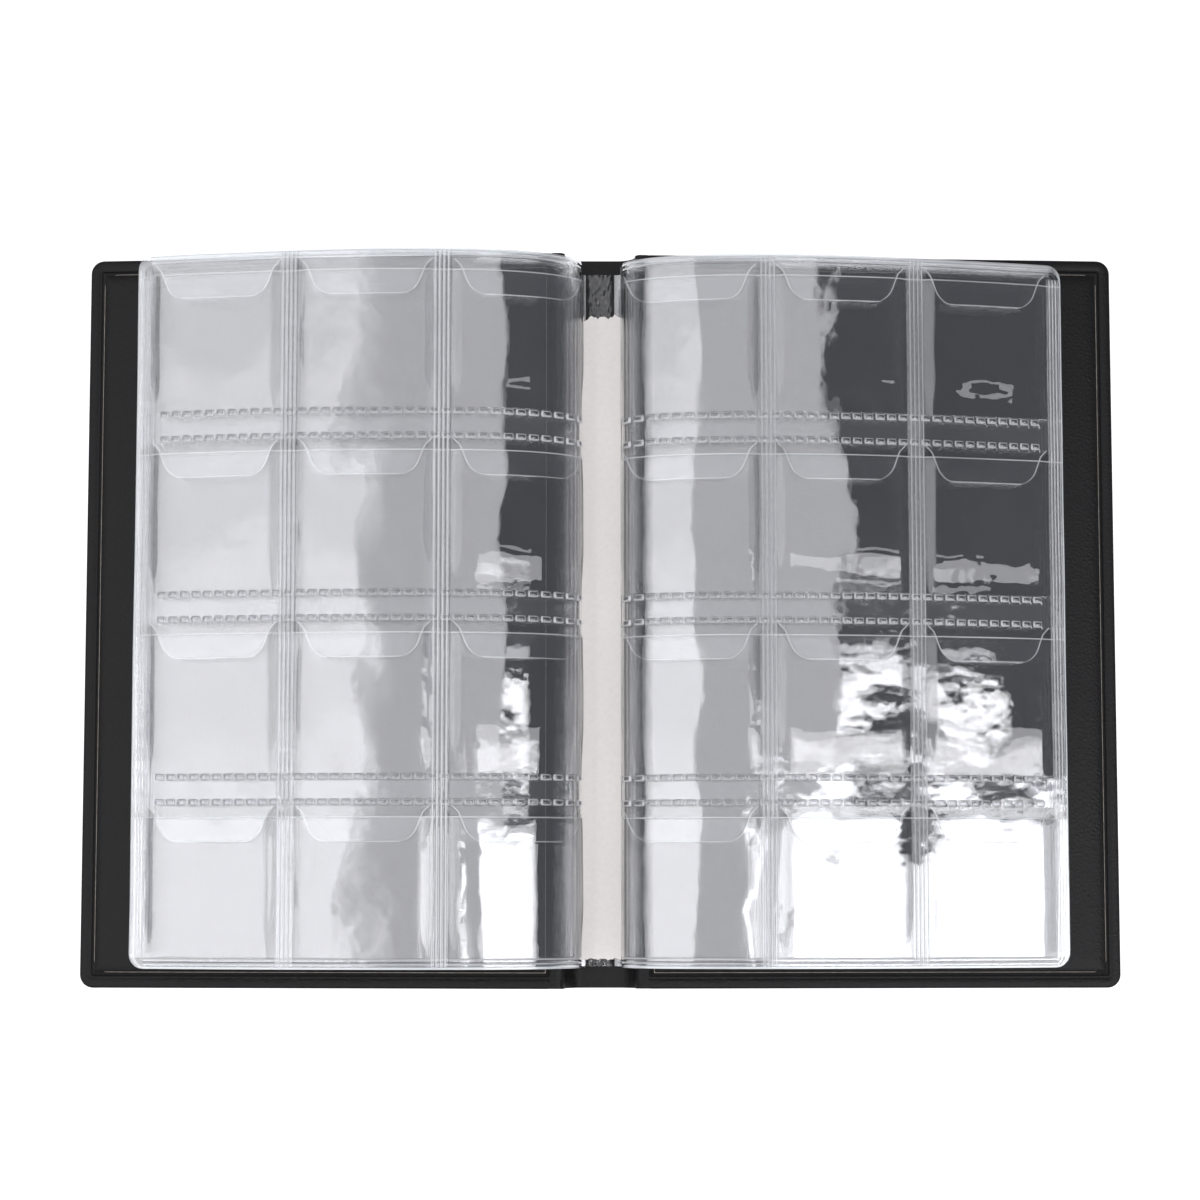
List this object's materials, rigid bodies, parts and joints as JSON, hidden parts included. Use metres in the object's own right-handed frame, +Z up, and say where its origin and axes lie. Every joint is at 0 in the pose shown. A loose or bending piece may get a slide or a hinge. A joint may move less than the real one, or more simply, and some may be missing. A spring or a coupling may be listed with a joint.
{
  "type": "coin album",
  "caption": "Padded two-panel album lying open with clear pocket leaves welded along its spine, for storing coins in tuck-in pockets.",
  "frame": {"origin": "middle of the spine's flat underside", "axes": "+X to the reader's right across both covers, +Y towards the top of the pages, +Z up from the table"},
  "size_m": [0.2509, 0.178, 0.0302],
  "materials": {
    "cover_vinyl": "fine-grained soft vinyl",
    "lining_vinyl": "fine-grained soft vinyl",
    "panel_board": "raw greyboard",
    "card": "matt card",
    "weld_film": "clear, knurled",
    "clear_film": "clear, glossy"
  },
  "bodies": {
    "spine": {"spine_skin": "cover_vinyl", "spine_lining": "lining_vinyl", "binding_weld": "weld_film", "card_strip": "card", "left_root_films": "clear_film", "right_root_films": "clear_film"},
    "left_cover": {"left_outer_skin": "cover_vinyl", "left_board": "panel_board", "left_lining": "lining_vinyl"},
    "left_leaf_1": {"left_back_film_1": "clear_film", "left_welds_1": "weld_film", "left_pocket_fronts_1": "clear_film", "left_flaps_1": "clear_film"},
    "left_leaf_2": {"left_back_film_2": "clear_film", "left_welds_2": "weld_film", "left_pocket_fronts_2": "clear_film", "left_flaps_2": "clear_film"},
    "left_leaf_3": {"left_back_film_3": "clear_film", "left_welds_3": "weld_film", "left_pocket_fronts_3": "clear_film", "left_flaps_3": "clear_film"},
    "left_leaf_4": {"left_back_film_4": "clear_film", "left_welds_4": "weld_film", "left_pocket_fronts_4": "clear_film", "left_flaps_4": "clear_film"},
    "left_leaf_5": {"left_back_film_5": "clear_film", "left_welds_5": "weld_film", "left_pocket_fronts_5": "clear_film", "left_flaps_5": "clear_film"},
    "right_cover": {"right_outer_skin": "cover_vinyl", "right_board": "panel_board", "right_lining": "lining_vinyl"},
    "right_leaf_1": {"right_back_film_1": "clear_film", "right_welds_1": "weld_film", "right_pocket_fronts_1": "clear_film", "right_flaps_1": "clear_film"},
    "right_leaf_2": {"right_back_film_2": "clear_film", "right_welds_2": "weld_film", "right_pocket_fronts_2": "clear_film", "right_flaps_2": "clear_film"},
    "right_leaf_3": {"right_back_film_3": "clear_film", "right_welds_3": "weld_film", "right_pocket_fronts_3": "clear_film", "right_flaps_3": "clear_film"},
    "right_leaf_4": {"right_back_film_4": "clear_film", "right_welds_4": "weld_film", "right_pocket_fronts_4": "clear_film", "right_flaps_4": "clear_film"},
    "right_leaf_5": {"right_back_film_5": "clear_film", "right_welds_5": "weld_film", "right_pocket_fronts_5": "clear_film", "right_flaps_5": "clear_film"}
  },
  "joints": [
    {"name": "left_cover_fold", "type": "hinge", "parent": "spine", "child": "left_cover", "pos_m": [-0.009, 0, 0.0092], "axis": [0, -1, 0], "range_deg": [-94.25, 0], "deforming": ["left_root_films"]},
    {"name": "left_leaf_1_turn", "type": "hinge", "parent": "left_cover", "child": "left_leaf_1", "pos_m": [-0.0082, 0, 0.0078], "axis": [0, 1, 0], "range_deg": [0, 6], "deforming": ["left_back_film_1", "left_welds_1", "left_pocket_fronts_1", "left_flaps_1"]},
    {"name": "left_leaf_2_turn", "type": "hinge", "parent": "left_cover", "child": "left_leaf_2", "pos_m": [-0.00793, 0, 0.00773], "axis": [0, 1, 0], "range_deg": [0, 12], "deforming": ["left_back_film_2", "left_welds_2", "left_pocket_fronts_2", "left_flaps_2"]},
    {"name": "left_leaf_3_turn", "type": "hinge", "parent": "left_cover", "child": "left_leaf_3", "pos_m": [-0.00766, 0, 0.00766], "axis": [0, 1, 0], "range_deg": [0, 18], "deforming": ["left_back_film_3", "left_welds_3", "left_pocket_fronts_3", "left_flaps_3"]},
    {"name": "left_leaf_4_turn", "type": "hinge", "parent": "left_cover", "child": "left_leaf_4", "pos_m": [-0.00739, 0, 0.00759], "axis": [0, 1, 0], "range_deg": [0, 24], "deforming": ["left_back_film_4", "left_welds_4", "left_pocket_fronts_4", "left_flaps_4"]},
    {"name": "left_leaf_5_turn", "type": "hinge", "parent": "left_cover", "child": "left_leaf_5", "pos_m": [-0.00712, 0, 0.00752], "axis": [0, 1, 0], "range_deg": [0, 30], "deforming": ["left_back_film_5", "left_welds_5", "left_pocket_fronts_5", "left_flaps_5"]},
    {"name": "right_cover_fold", "type": "hinge", "parent": "spine", "child": "right_cover", "pos_m": [0.009, 0, 0.0072], "axis": [0, 1, 0], "range_deg": [-93.27, 0], "deforming": ["right_root_films"]},
    {"name": "right_leaf_1_turn", "type": "hinge", "parent": "right_cover", "child": "right_leaf_1", "pos_m": [0.0082, 0, 0.0058], "axis": [0, -1, 0], "range_deg": [0, 6], "deforming": ["right_back_film_1", "right_welds_1", "right_pocket_fronts_1", "right_flaps_1"]},
    {"name": "right_leaf_2_turn", "type": "hinge", "parent": "right_cover", "child": "right_leaf_2", "pos_m": [0.00793, 0, 0.00571], "axis": [0, -1, 0], "range_deg": [0, 12], "deforming": ["right_back_film_2", "right_welds_2", "right_pocket_fronts_2", "right_flaps_2"]},
    {"name": "right_leaf_3_turn", "type": "hinge", "parent": "right_cover", "child": "right_leaf_3", "pos_m": [0.00767, 0, 0.00563], "axis": [0, -1, 0], "range_deg": [0, 18], "deforming": ["right_back_film_3", "right_welds_3", "right_pocket_fronts_3", "right_flaps_3"]},
    {"name": "right_leaf_4_turn", "type": "hinge", "parent": "right_cover", "child": "right_leaf_4", "pos_m": [0.0074, 0, 0.00554], "axis": [0, -1, 0], "range_deg": [0, 24], "deforming": ["right_back_film_4", "right_welds_4", "right_pocket_fronts_4", "right_flaps_4"]},
    {"name": "right_leaf_5_turn", "type": "hinge", "parent": "right_cover", "child": "right_leaf_5", "pos_m": [0.00713, 0, 0.00545], "axis": [0, -1, 0], "range_deg": [0, 30], "deforming": ["right_back_film_5", "right_welds_5", "right_pocket_fronts_5", "right_flaps_5"]}
  ],
  "couplings": [
    {"joint": "left_leaf_1_turn", "follows": "left_leaf_5_turn", "ratio": 0.2},
    {"joint": "left_leaf_2_turn", "follows": "left_leaf_5_turn", "ratio": 0.4},
    {"joint": "left_leaf_3_turn", "follows": "left_leaf_5_turn", "ratio": 0.6},
    {"joint": "left_leaf_4_turn", "follows": "left_leaf_5_turn", "ratio": 0.8},
    {"joint": "right_leaf_1_turn", "follows": "right_leaf_5_turn", "ratio": 0.2},
    {"joint": "right_leaf_2_turn", "follows": "right_leaf_5_turn", "ratio": 0.4},
    {"joint": "right_leaf_3_turn", "follows": "right_leaf_5_turn", "ratio": 0.6},
    {"joint": "right_leaf_4_turn", "follows": "right_leaf_5_turn", "ratio": 0.8}
  ]
}
